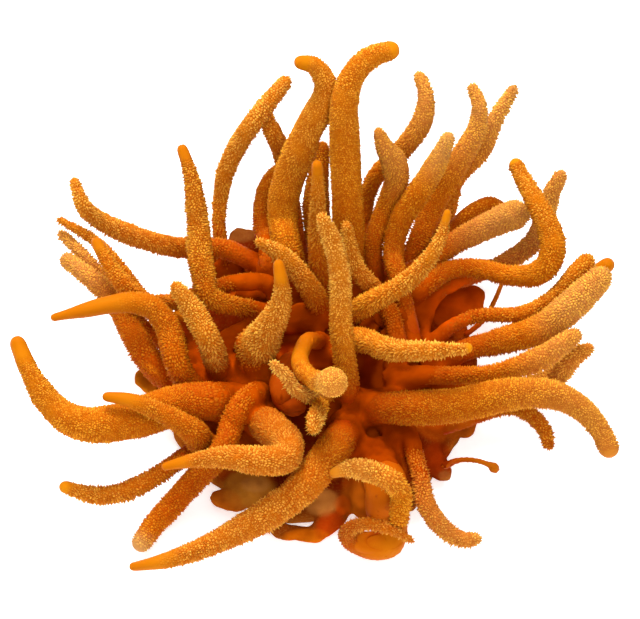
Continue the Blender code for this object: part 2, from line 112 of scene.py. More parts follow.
# How far the grains' bases lie under the surface, how deep the valleys are, and how bright the peaks are.
SUNK = 0.45
DEPTH_RANGE = (0.25, 0.7)
TONE_RANGE = (0.15, 1.05)
# Edges between valleys are sharp where the grains are at least this rough.
SHARP_FROM = 0.25
# What each grain has: numbers for its shape, and levels that every vertex of the skin gets.
SHAPE_NUMBERS = ("base", "out", "spike", "height", "depth")
LEVELS = ("sharp", "tone", "stem", "tip", "share")

# How far over the pad, in mm, a finger's foot is fused into the base, and how it flares and narrows there.
STEM_REACH = 5.0
FEWEST_REACH = 12
STEM_POINTS = 16
STEM_FLARE = 0.30
STEM_NECK = 0.16
TUBE_SIDES = 12
# How a limb's ends are rounded.
LIMB_ROUNDING = 6
LIMB_END = 0.15
# How far the pad's dome is lowered between the stems, and the heights where that begins and is full, in mm.
DOME_DROP = 3.2
DROP_RANGE = (5, 11.5)
# The base is made anew from cubes of this size in metres, then eased so many times.
VOXEL_SIZE = 0.00042
EASE_FACTOR = 0.5
EASE_TIMES = 10
# The lumps on the base: (height in mm, width in metres). They fade in over the lowest LUMPS_FADE mm, and
# nothing lies lower than LEAST_HEIGHT metres.
LUMPS = ((0.35, 0.004), (0.16, 0.0016), (0.10, 0.0008))
LUMPS_FADE = 1.2
LEAST_HEIGHT = 0.00001
# How far off the stems, in mm, the hollows between them begin and are full; the base's painted shade lies
# there.
HOLLOW_RANGE = (0.15, 1.3)
# The factor and the offset with which the lumps are handed on to the colours.
BUMP_SPREAD = (1.6, 0.5)
# So many of the base's vertices are measured at once.
CHUNK = 4000

# name: (length of the smooth tip in mm, pitch of the grains in mm, height of the grains in mm, paleness).
# PLAIN is for the fingers that aren't named.
PLAIN = (1.0, 0.50, 0.19, 0.35)
LOOKS = {
    "finger_back_tall": (1.6, 0.36, 0.20, 0.26),
    "finger_back_hook": (2.6, 0.37, 0.20, 0.42),
    "finger_back_bulge": (0.0, 0.40, 0.22, 0.15),
    "finger_back_left_tall": (0.0, 0.42, 0.24, 0.75),
    "finger_back_left_short": (0.0, 0.40, 0.25, 0.45),
    "finger_back_dark": (0.0, 0.40, 0.18, 0.05),
    "finger_back_right_leaf": (0.0, 0.40, 0.24, 0.55),
    "finger_back_right_claw": (0.0, 0.38, 0.22, 0.40),
    "finger_back_right_thick": (0.0, 0.38, 0.22, 0.45),
    "finger_back_right_tall": (0.0, 0.40, 0.25, 0.45),
    "finger_back_right_far": (0.0, 0.42, 0.25, 0.62),
    "finger_back_right_low": (0.0, 0.42, 0.08, 0.05),
    "finger_back_right_blunt": (0.0, 0.42, 0.25, 0.60),
    "finger_right_crook": (1.0, 0.40, 0.24, 0.42),
    "finger_right_behind_crook": (0.0, 0.42, 0.25, 0.60),
    "finger_right_upper": (0.0, 0.44, 0.20, 0.30),
    "finger_right_smooth_tip": (5.0, 0.44, 0.21, 0.15),
    "finger_right_thick": (0.0, 0.40, 0.25, 0.58),
    "finger_right_middle": (0.0, 0.42, 0.24, 0.50),
    "finger_right_behind_arm": (0.0, 0.44, 0.29, 0.60),
    "finger_right_arm": (1.3, 0.35, 0.21, 0.42),
    "finger_right_under_arm": (0.0, 0.42, 0.24, 0.25),
    "thread_right_low": (0.0, 0.30, 0.03, 0.00),
    "thread_right_high": (0.0, 0.30, 0.03, 0.00),
    "finger_front_right": (0.0, 0.44, 0.24, 0.75),
    "finger_front_arch": (2.2, 0.44, 0.24, 0.80),
    "finger_front_curl": (0.0, 0.44, 0.24, 0.70),
    "finger_front_spear": (7.5, 0.42, 0.22, 0.62),
    "finger_front_elbow": (5.0, 0.40, 0.20, 0.62),
    "finger_front_left_low": (1.6, 0.44, 0.24, 0.50),
    "finger_front_left_knob": (1.0, 0.44, 0.22, 0.30),
    "finger_front_left_horn": (6.0, 0.40, 0.22, 0.25),
    "finger_left_boomerang": (5.0, 0.36, 0.20, 0.20),
    "finger_left_needle": (15.0, 0.44, 0.25, 0.25),
    "finger_left_cone": (0.0, 0.44, 0.25, 0.70),
    "finger_left_orange": (3.0, 0.42, 0.25, 0.30),
    "finger_left_far": (0.0, 0.42, 0.22, 0.35),
    "finger_left_twin": (0.0, 0.42, 0.26, 0.55),
    "finger_left_thick": (0.0, 0.42, 0.26, 0.50),
    "finger_left_upright": (3.5, 0.42, 0.27, 0.38),
    "finger_left_long": (0.0, 0.42, 0.26, 0.70),
    "finger_crown_spindle": (0.0, 0.42, 0.22, 0.85),
    "finger_crown_tall": (3.0, 0.44, 0.27, 0.50),
    "finger_crown_club": (4.5, 0.44, 0.24, 0.75),
    "finger_crown_left_blunt": (0.0, 0.44, 0.24, 0.70),
    "finger_crown_nub": (0.0, 0.42, 0.24, 0.60),
    "finger_crown_right_up": (2.5, 0.44, 0.26, 0.70),
    "finger_crown_right": (1.0, 0.44, 0.27, 0.72),
    "finger_crown_to_viewer": (0.0, 0.34, 0.13, 0.74),
    "finger_crown_fork_upper": (0.0, 0.44, 0.27, 0.95),
    "finger_crown_fork_lower": (0.0, 0.44, 0.27, 0.90),
    "finger_crown_dark_bow": (0.0, 0.55, 0.04, 0.00),
}

# Where along a finger, as shares of its length, its paleness begins and is full, and how pale it is below.
LOWER_PALENESS = 0.2
PALE_RANGE = (0.25, 0.75)
PALE_RANGES = {
    "finger_back_right_leaf": (0.50, 0.92),
    "finger_back_right_tall": (0.50, 0.85),
    "finger_back_right_far": (0.50, 0.90),
    "finger_back_right_thick": (0.72, 0.96),
    "finger_back_right_claw": (0.50, 0.85),
    "finger_back_right_blunt": (0.45, 0.85),
    "finger_right_crook": (0.60, 0.90),
    "finger_right_thick": (0.50, 0.75),
    "finger_right_middle": (0.55, 0.90),
    "finger_right_arm": (0.45, 0.85),
    "finger_back_left_tall": (0.15, 0.80),
    "finger_left_thick": (0.55, 0.90),
    "finger_left_twin": (0.50, 0.85),
    "finger_front_elbow": (0.15, 0.45),
    "finger_front_left_knob": (0.88, 0.96),
    "finger_front_spear": (0.20, 0.50),
    "finger_crown_to_viewer": (0.74, 0.90),
    "finger_crown_spindle": (0.30, 0.80),
    "finger_crown_club": (0.10, 0.45),
    "finger_left_cone": (0.05, 0.35),
}
# Extra paleness of the last bit of some tips, and where along the finger it begins and is full.
CAP_RANGE = (0.90, 0.965)
PALE_CAPS = {"finger_front_left_knob": 0.9, "finger_front_right": 0.3}
# How dusty brown some fingers' upper ends are.
DUST = {
    "finger_front_left_knob": 0.80, "finger_front_right": 0.20, "finger_back_right_thick": 0.75,
    "finger_back_right_tall": 0.50, "finger_back_right_far": 0.55, "finger_back_right_claw": 0.35,
    "finger_back_right_leaf": 0.40, "finger_back_right_blunt": 0.50, "finger_right_thick": 0.50,
    "finger_right_behind_crook": 0.40, "finger_right_middle": 0.35, "finger_left_thick": 0.55,
    "finger_left_twin": 0.45, "finger_right_arm": 0.20, "finger_crown_fork_upper": 0.15,
    "finger_crown_to_viewer": 0.25, "finger_front_arch": 0.15, "finger_right_behind_arm": 0.15,
}
# How much wider than their neck some tips swell.
TIP_SWELLS = {"finger_crown_to_viewer": 0.24, "finger_right_arm": 0.10, "thread_right_low": 0.45}
# How far some fingers' flesh goes from orange to dark red.
DARKNESS = {
    "finger_crown_dark_bow": 0.68, "thread_right_low": 0.60, "thread_right_high": 0.50,
    "finger_back_dark": 0.45, "finger_right_behind_arm": 0.15, "finger_right_under_arm": 0.30,
    "finger_rear_middle": 0.3, "finger_rear_left": 0.3, "finger_left_far": 0.15,
    "finger_back_right_low": 0.30, "finger_left_needle": 0.14, "finger_front_left_horn": 0.14,
    "finger_right_arm": 0.30, "finger_right_behind_crook": 0.10, "finger_back_tall": 0.04,
    "finger_front_elbow": 0.05, "finger_left_upright": 0.32, "finger_left_orange": 0.10,
    "finger_right_upper": 0.12, "finger_left_boomerang": 0.05,
}
# Where along these fingers, as shares of their length, they begin to be grainy and are fully so. Shares over
# 1 are past the tip: such a finger is smooth.
GRAINS_FROM = {
    "finger_front_curl": (0.50, 0.66), "finger_crown_to_viewer": (0.42, 0.62),
    "finger_crown_dark_bow": (2, 3), "thread_right_low": (2, 3), "thread_right_high": (2, 3),
}
# These fingers are grainy and bright down to where they sink between the others: their height over the pad
# counts this many times, so their dark red, partly painted shade, begins lower.
BRIGHT_ROOTS = {
    "finger_crown_club": 3.4, "finger_left_cone": 2.2, "finger_crown_left_blunt": 1.8,
    "finger_crown_right": 2.0, "finger_crown_right_up": 2.6, "finger_front_spear": 1.4,
    "finger_crown_spindle": 1.5, "finger_crown_nub": 1.6, "finger_back_left_tall": 2.4,
    "finger_front_right": 1.5, "finger_left_upright": 1.5, "finger_back_hook": 2.4,
    "thread_right_low": 3.0, "thread_right_high": 2.0, "finger_crown_fork_upper": 2.0,
    "finger_crown_fork_lower": 2.0, "finger_front_arch": 3.0,
}
# These fingers grow out of another one instead of the pad; their tip is their higher end.
BRANCHES = ("finger_front_arch", "finger_crown_fork_lower")

# The front view on which the flesh between the roots is drawn: a grid whose steps are VIEW_STEP long at the
# aim point. Each point is (across, down, height in mm over the table).
VIEW_STEP = 0.00015
VIEW_CENTRE = (320, 309.5)
VIEW_ELEVATION = math.radians(52)
EYE_DISTANCE = 0.45
AIM = Vector((0.0002, 0.0013, 0.020))

# Low limbs of flesh between the roots: (thicknesses in view steps, points).
CORE = (
    ((20, 22, 22, 18), ((198, 354, 8), (224, 342, 10.5), (252, 328, 12), (276, 316, 12))),
    ((24, 26, 25), ((184, 350, 6.5), (226, 364, 9.5), (268, 374, 10))),
    ((30, 32, 26), ((276, 322, 10.5), (304, 318, 12), (334, 318, 12))),
    ((20, 20, 18), ((326, 392, 11.5), (344, 392, 12.5), (360, 396, 11.5))),
    ((28, 30, 26), ((348, 398, 10), (378, 402, 10), (404, 398, 9.5))),
    ((13, 16, 15), ((380, 344, 11), (394, 325, 13.5), (404, 304, 12))),
    ((15, 17, 15), ((400, 346, 9.5), (404, 318, 10.5), (410, 290, 10))),
    ((14, 16, 14), ((420, 350, 9), (426, 320, 9.5), (432, 292, 8.5))),
    ((18, 20, 18), ((398, 388, 10), (424, 378, 10), (448, 372, 9))),
    ((20, 20), ((236, 292, 9), (260, 300, 10))),
    ((16, 16), ((208, 272, 7.5), (222, 270, 8))),
    ((16, 14), ((232, 264, 8), (244, 268, 8.5))),
    ((26, 26, 24), ((300, 356, 9), (330, 352, 10), (352, 360, 10))),
    ((24, 24, 20), ((236, 404, 9), (256, 424, 9), (270, 440, 9))),
    ((26, 24), ((388, 424, 9.5), (400, 446, 9))),
    ((50, 50, 44), ((372, 466, 6.5), (372, 494, 5.5), (374, 516, 5))),
)

# The hollow inside the coil of the front curl: its middle on the front view, its half sizes in mm, and the
# dent in it, whose middle is in shares of the half sizes.
CUP_MIDDLE = (377, 543, 4.6)
CUP_HALF = (3.9, 1.8, 1.6)
CUP_DENT = 1.3
CUP_DENT_MIDDLE = (0.1, 0.35)
CUP_DENT_SHARPNESS = 3
CUP_SEGMENTS = (40, 24)
# Its colour is that of a stem so many mm off the pad: the first in the dent, and the second more outside it.
CUP_STEM = (1.0, 4.5)
CUP_RIM = (0.8, 2.2)
FAR_FROM_TIP = 9.0

# Patches of other colour on the base: (across, down, half width, half height, colour, strength). Most are
# the flesh's own colours, but the one at (372, 502) is painted shade on a stem and the one at (143, 379) is
# lightened against the shade on that lobe, a painted light. PATCH_RIM says where a patch fades out, as
# shares of its half size, and PATCH_RAGGED how much the lumps fray it.
PATCH_RIM = (0.78, 1.10)
PATCH_RAGGED = 0.5
COLOUR_SHADE_AND_LIGHT_PATCHES = (
    (322, 503, 17, 15, (0.48, 0.18, 0.032), 0.75),
    (342, 506, 8, 10, (0.55, 0.070, 0.0015), 0.90),
    (241, 231, 18, 12, (0.20, 0.070, 0.012), 0.60),
    (458, 304, 30, 28, (0.44, 0.052, 0.0008), 0.85),
    (301, 221, 9, 9, (0.50, 0.30, 0.060), 0.70),
    # Painted light: this lobe is lightened against the shade it lies in.
    (143, 379, 17, 19, (0.66, 0.20, 0.006), 0.90),
    (250, 490, 28, 20, (0.31, 0.115, 0.010), 0.75),
    (256, 485, 15, 8, (0.38, 0.17, 0.040), 0.45),
    (224, 504, 20, 15, (0.36, 0.085, 0.004), 0.80),
    (308, 538, 24, 10, (0.58, 0.125, 0.002), 0.85),
    (330, 527, 16, 18, (0.36, 0.034, 0.001), 0.85),
    (445, 476, 7, 6, (0.34, 0.14, 0.030), 0.55),
    (411, 508, 8, 9, (0.24, 0.060, 0.010), 0.85),
    (438, 462, 18, 20, (0.21, 0.018, 0.0006), 0.85),
    (462, 428, 16, 14, (0.34, 0.070, 0.003), 0.60),
    (182, 314, 10, 8, (0.46, 0.130, 0.004), 0.70),
    (322, 468, 26, 14, (0.50, 0.100, 0.001), 0.60),
    # Painted shade on a stem in the front.
    (372, 502, 30, 30, (0.36, 0.080, 0.003), 0.80),
)

# Colours are (red, green, blue). Stops are (share, colour).
# Over how many mm off the pad a finger's colour goes from dark red to orange: partly the flesh's own colour
# and partly painted shade deep in the bunch.
FLESH_AND_SHADE_HEIGHT = 20
FLESH_AND_SHADE_STOPS = (
    (0.0, (0.31, 0.030, 0.0004)), (0.16, (0.44, 0.078, 0.001)),
    (0.40, (0.53, 0.145, 0.002)), (1.0, (0.57, 0.195, 0.003)),
)
# The scales of the colour noises are in waves per metre.
MOTTLE_SCALE = 260
MOTTLE_STOPS = ((0.3, (0.88, 0.76, 0.70)), (0.7, (1.04, 1.12, 1.0)))
MOTTLE_STRENGTH = 0.8
DARK_FLESH = (0.24, 0.020, 0.0004)
# The valleys' shade and the peaks' pale colours: partly the grains' own colours, partly painted shade in the
# valleys and painted highlights on the peaks.
VALLEY_SHADE = (0.66, 0.40, 0.22)
PALE_VALLEY_SHADE = (0.68, 0.48, 0.36)
DUSTY = (0.42, 0.215, 0.072)
PEAK = (0.96, 0.47, 0.020)
PALE_PEAK = (0.98, 0.63, 0.120)
PIT_SCALE = 2400
PIT_STOPS = ((0.39, (0.50, 0.31, 0.15)), (0.50, (1.28, 1.25, 1.12)))
PIT_STRENGTH = 0.9
SMOOTH_TIP = (0.42, 0.108, 0.0007)
SMOOTH_TIP_STRENGTH = 0.9
# How the peaks' strength grows off the pad, fading with the painted shade deep in the bunch, and its part
# with the paleness and without it.
PEAK_POWER = 0.6
PEAK_STRENGTH = (0.22, 0.78)
# The roughness of a finger: its change on a smooth tip, and elsewhere.
FINGER_ROUGHNESS = (-0.10, 0.64)
BASE_ROUGHNESS = 0.6
FLOOR_ROUGHNESS = 0.9
SUBSURFACE_RADIUS = (1.0, 0.30, 0.05)
SUBSURFACE_SCALE = 0.0005
# Over how many metres over the table the base changes colour, and its pale blotches fade.
BASE_HEIGHT = 0.018
BASE_STOPS = (
    (0.0, (0.30, 0.085, 0.006)), (0.25, (0.33, 0.055, 0.001)),
    (0.55, (0.29, 0.033, 0.0004)), (1.0, (0.32, 0.047, 0.0005)),
)
# The hollows between the stems: partly the flesh's own dark red and partly painted shade, darkest higher up
# in the bunch.
HOLLOW_SHADE_STOPS = (
    (0.0, (0.28, 0.095, 0.010)), (0.18, (0.24, 0.045, 0.002)),
    (0.38, (0.14, 0.010, 0.0003)), (1.0, (0.11, 0.006, 0.0002)),
)
CREAM_HEIGHT = 0.009
CREAM_SCALE = 170
CREAM_STOPS = ((0.50, (0, 0, 0)), (0.64, (1, 1, 1)))
CREAM = (0.50, 0.22, 0.04)
CREAM_STRENGTH = 0.45
BUMP_STOPS = ((0.2, (0.5, 0.4, 0.35)), (0.8, (1.25, 1.25, 1.2)))
BUMP_STRENGTH = 0.7

# The stage, in metres: the floor, the lights as (name, size, power, place), and the camera.
FLOOR_HALF = 1.5
FLOOR_WHITE = 0.93
FLOOR_GLOW = 0.55
WORLD_STRENGTH = 0.27
LIGHTS = (
    ("key", 0.30, 5.4, (-0.12, 0.26, 0.55)),
    ("top", 0.45, 2.8, (0.05, -0.12, 0.75)),
    ("fill", 0.45, 2.3, (0.05, -0.45, 0.45)),
)
LIGHT_AIM = (0, 0, 0.015)
LENS = 168.75
SENSOR_WIDTH = 36
CLIP_RANGE = (0.01, 10)

random = np.random.default_rng(7)


def linked(name, data):
    """A new object in the scene."""
    made = bpy.data.objects.new(name, data)
    bpy.context.scene.collection.objects.link(made)
    return made


def set_numbers(mesh, name, values):
    """Gives the mesh an attribute with one number per vertex."""
    layer = mesh.attributes.new(name, "FLOAT", "POINT")
    layer.data.foreach_set("value", np.asarray(values, dtype=np.float32))


def step_up(low, high, values):
    """0 below low, 1 above high, smooth between."""
    share = np.clip((values - low) / (high - low), 0, 1)
    return share * share * (3 - 2 * share)


def step_up_mm(low_and_high, values):
    """The same with low and high in mm and values in metres."""
    low, high = low_and_high
    return step_up(low * MM, high * MM, values)


def sight_frame():
    """Right, up and towards-the-eye directions of the front view."""
    right = Vector((1, 0, 0))
    up = Vector((0, math.sin(VIEW_ELEVATION), math.cos(VIEW_ELEVATION)))
    toward = Vector((0, -math.cos(VIEW_ELEVATION), math.sin(VIEW_ELEVATION)))
    return right, up, toward


def seen_at(across, down, height_mm):
    """The point at that height over the table that the front view shows at that place."""
    right, up, toward = sight_frame()
    eye = AIM + toward * EYE_DISTANCE
    to_right = right * ((across - VIEW_CENTRE[0]) * VIEW_STEP)
    upward = up * ((VIEW_CENTRE[1] - down) * VIEW_STEP)
    ray = AIM + to_right + upward - eye
    return eye + ray * ((height_mm * MM - eye.z) / ray.z)


def on_view(points):
    """(across, down) of each point on the front view."""
    right, up, toward = (np.array(axis) for axis in sight_frame())
    away = points - np.array(AIM)
    nearness = 1 - away @ toward / EYE_DISTANCE
    across = VIEW_CENTRE[0] + away @ right / nearness / VIEW_STEP
    down = VIEW_CENTRE[1] - away @ up / nearness / VIEW_STEP
    return across, down


def flat_faces(shell):
    """The shell's flat faces of RING_SIDES corners, as sets of vertex numbers."""
    found, seen = [], set()
    for face in shell.faces:
        if face in seen:
            continue
        patch = [face]
        seen.add(face)
        for one in patch:
            for other in {near for edge in one.edges for near in edge.link_faces} - seen:
                if other.normal.dot(face.normal) > SAME_PLANE:
                    seen.add(other)
                    patch.append(other)
        corners = {vert.index for one in patch for vert in one.verts}
        if len(patch) == RING_SIDES - 2 and len(corners) == RING_SIDES:
            found.append(corners)
    return found


def rings_of(node):
    """(centres, radii) of the solid's rings from tip to root, in metres, ending where the pad cuts it."""
    shell = bmesh.new()
    shell.from_mesh(node.data)
    bmesh.ops.remove_doubles(shell, verts=shell.verts, dist=SAME_PLACE)
    shell.verts.ensure_lookup_table()
    place = np.array([vert.co for vert in shell.verts])

    def tipness(cap):
        """The flat face for which this is largest is the finger's tip."""
        middle = place[list(cap)].mean(axis=0)
        if node.name.startswith(BRANCHES):
            return middle[2]
        return np.linalg.norm(middle - PAD_HEART)

    level = max(flat_faces(shell), key=tipness)
    done, centres, radii = set(), [], []
    while level:
        points = place[list(level)]
        centres.append(points.mean(axis=0))
        if len(level) != RING_SIDES:
            break
        radii.append(np.linalg.norm(points - centres[-1], axis=1).mean())
        done |= level
        level = {edge.other_vert(shell.verts[index]).index
                 for index in level for edge in shell.verts[index].link_edges} - done
    shell.free()
    radii += [radii[-1]] * (len(centres) - len(radii))
    radii = np.array(radii) / FACET_ALLOWANCE
    radii[0] /= TIP_RING_SHARE
    radii[1] = (radii[0] + radii[1]) / 2
    return np.array(centres), radii


def smooth_through(points, count):
    """A smooth curve through unevenly spaced points, as count even samples, and its length."""
    step = np.maximum(np.linalg.norm(np.diff(points[:, :3], axis=0), axis=1), TINY)
    slope = np.diff(points, axis=0) / step[:, None]
    inner = (slope[:-1] * step[1:, None] + slope[1:] * step[:-1, None]) / (step[1:] + step[:-1])[:, None]
    tangent = np.concatenate([slope[:1], inner, slope[-1:]])
    fine = []
    for begin, end, begin_slope, end_slope, gap in zip(points, points[1:], tangent, tangent[1:], step):
        for t in np.linspace(0, 1, CURVE_STEPS, endpoint=False):
            fine.append((2 * t**3 - 3 * t**2 + 1) * begin + (t**3 - 2 * t**2 + t) * gap * begin_slope
                        + (3 * t**2 - 2 * t**3) * end + (t**3 - t**2) * gap * end_slope)
    fine = np.array(fine + [points[-1]])
    along = np.concatenate([[0], np.cumsum(np.linalg.norm(np.diff(fine[:, :3], axis=0), axis=1))])
    at = np.linspace(0, along[-1], count)
    return np.stack([np.interp(at, along, fine[:, k]) for k in range(fine.shape[1])], axis=1), along[-1]


def carried_frames(line):
    """Unit tangents and two side directions along the line, carried without twist."""
    tangent = np.gradient(line, axis=0)
    tangent /= np.linalg.norm(tangent, axis=1, keepdims=True)
    side = np.cross(tangent[0], SLANTED)
    sides = []
    for one in tangent:
        side = side - one * side.dot(one)
        side = side / np.linalg.norm(side)
        sides.append(side)
    sides = np.array(sides)
    return tangent, sides, np.cross(tangent, sides)


def fan(pole, start, count, pole_first):
    """Triangles between one point and a closed row of count points, as triples of indices."""
    if count == 1:
        return []
    ring = [start + k for k in range(count)]
    pairs = zip(ring, ring[1:] + ring[:1])
    return [(pole, after, before) if pole_first else (pole, before, after) for before, after in pairs]


def zip_rows(first, first_start, second, second_start):
    """Triangles between two rows of angles round the finger, as triples of indices."""
    if len(first) == 1:
        return fan(first_start, second_start, len(second), True)
    if len(second) == 1:
        return fan(second_start, first_start, len(first), False)
    shift = int(np.argmin(np.abs((second - first[0] + math.pi) % TURN - math.pi)))
    angles = list(first) + [first[0] + TURN]
    across = [second[(shift + k) % len(second)] for k in range(len(second) + 1)]
    across[0] = first[0] + ((across[0] - first[0] + math.pi) % TURN - math.pi)
    for k in range(1, len(across)):
        across[k] = across[k - 1] + max((across[k] - across[k - 1]) % TURN, LEAST)
    across[-1] = across[0] + TURN
    at_first = at_second = 0
    made = []
    while at_first < len(first) or at_second < len(second):
        here = first_start + at_first % len(first)
        there = second_start + (shift + at_second) % len(second)
        second_done = at_second == len(second)
        if second_done or (at_first < len(first) and angles[at_first + 1] <= across[at_second + 1]):
            at_first += 1
            made.append((here, first_start + at_first % len(first), there))
        else:
            at_second += 1
            made.append((here, second_start + (shift + at_second) % len(second), there))
    return made


def grain_skin(numbers, triangles):
    """The skin as vertices, faces, which vertices are peaks, and the level of each vertex.

    A valley lies in the middle of each triangle between grains, so that every peak is ringed by valleys.
    """
    triangles = np.array(triangles)
    base = numbers["base"]
    count = len(base)
    out = numbers["out"][triangles].mean(axis=1)
    out /= np.maximum(np.linalg.norm(out, axis=1, keepdims=True), TINY)
    low = numbers["depth"][triangles].mean(axis=1)
    peaks = base + numbers["spike"] * numbers["height"][:, None]
    valleys = base[triangles].mean(axis=1) - out * low[:, None]
    edges = np.concatenate([triangles[:, [0, 1]], triangles[:, [1, 2]], triangles[:, [2, 0]]])
    owner = np.tile(np.arange(len(triangles)), 3)
    key = edges[:, 0] * count + edges[:, 1]
    back = edges[:, 1] * count + edges[:, 0]
    order = np.argsort(key)
    found = np.searchsorted(key[order], back)
    match = order[np.minimum(found, len(key) - 1)]
    paired = key[match] == back
    first, second = owner[paired], owner[match[paired]]
    faces = np.stack([edges[paired, 0], count + second, count + first], axis=1)
    is_peak = np.concatenate([np.ones(count), np.zeros(len(valleys))])
    levels = {}
    for name in LEVELS:
        values = numbers[name]
        levels[name] = np.concatenate([values, values[triangles].mean(axis=1)])
    return np.concatenate([peaks, valleys]), faces, is_peak, levels


def skin_object(name, vertices, faces, attributes, valleys_from, is_sharp):
    """A smooth shaded mesh object with a number per vertex for each attribute.

    Edges between vertices from valleys_from on are sharp where is_sharp is true at both ends.
    """
    mesh = bpy.data.meshes.new(name)
    mesh.vertices.add(len(vertices))
    mesh.vertices.foreach_set("co", vertices.astype(np.float32).ravel())
    mesh.loops.add(len(faces) * 3)
    mesh.loops.foreach_set("vertex_index", faces.astype(np.int32).ravel())
    mesh.polygons.add(len(faces))
    mesh.polygons.foreach_set("loop_start", np.arange(0, len(faces) * 3, 3, dtype=np.int32))
    mesh.update(calc_edges=True)
    mesh.validate()
    mesh.shade_smooth()
    ends = np.empty(len(mesh.edges) * 2, dtype=np.int32)
    mesh.edges.foreach_get("vertices", ends)
    ends = ends.reshape(-1, 2)
    sharp = (ends >= valleys_from).all(axis=1) & is_sharp[ends].all(axis=1)
    mesh.attributes.new("sharp_edge", "BOOLEAN", "EDGE").data.foreach_set("value", sharp)
    for key, values in attributes.items():
        set_numbers(mesh, key, values)
    return linked(name, mesh)


def hidden_root(name, centres):
    """The points that carry a finger on into the base, deepest first."""
    into = centres[0] - centres[1]
    into /= max(np.linalg.norm(into), TINY)
    if name in BRANCHES:
        return np.array([centres[0] + into * BRANCH_STEP * MM])
    first = centres[0] + into * ROOT_STEP * MM
    if name.startswith("thread_"):
        return np.array([first])
    dive = np.array((first[0] * DIVE_SHARE, first[1] * DIVE_SHARE, DIVE_HEIGHT * MM)) - first
    bend = into + DIVE_PULL * dive / np.linalg.norm(dive)
    return np.array([first + bend / np.linalg.norm(bend) * ROOT_DIVE * MM, first])


def finger_line(name, node):
    """The finger's centre line from root to tip, its radius and place along it, and its own noise seed."""
    centres, widths = rings_of(node)
    centres, widths = centres[::-1], widths[::-1]
    hidden = hidden_root(name, centres)
    centres = np.concatenate([hidden, centres])
    widths = np.concatenate([[widths[0]] * len(hidden), widths])
    samples, length = smooth_through(np.concatenate([centres, widths[:, None]], axis=1), LINE_SAMPLES)
    line, wide = samples[:, :3], samples[:, 3].copy()
    seed = Vector(random.uniform(*SEED_RANGE, 3))
    for k, point in enumerate(line):
        wide[k] *= 1 + THICKNESS_CHANGE * noise.noise(seed + Vector(point) / THICKNESS_SPOT)
    wide = np.convolve(np.pad(wide, AVERAGED // 2, mode="edge"), np.ones(AVERAGED) / AVERAGED, mode="valid")
    along = np.linspace(0, length, LINE_SAMPLES)
    wide *= 1 + TIP_SWELLS.get(name, 0.0) * step_up(*SWELL_RANGE, (length - along) / wide[-1])
    return line, wide, along, seed


def distance_from_pad(line, pad_tree):
    """How far each point of the line is off the pad's surface, below zero inside the pad."""
    off = []
    for point in line:
        nearest, normal, _, distance = pad_tree.find_nearest(Vector(point))
        inside = (Vector(point) - nearest).dot(normal) < 0
        off.append(-distance if inside else distance)
    return np.array(off)


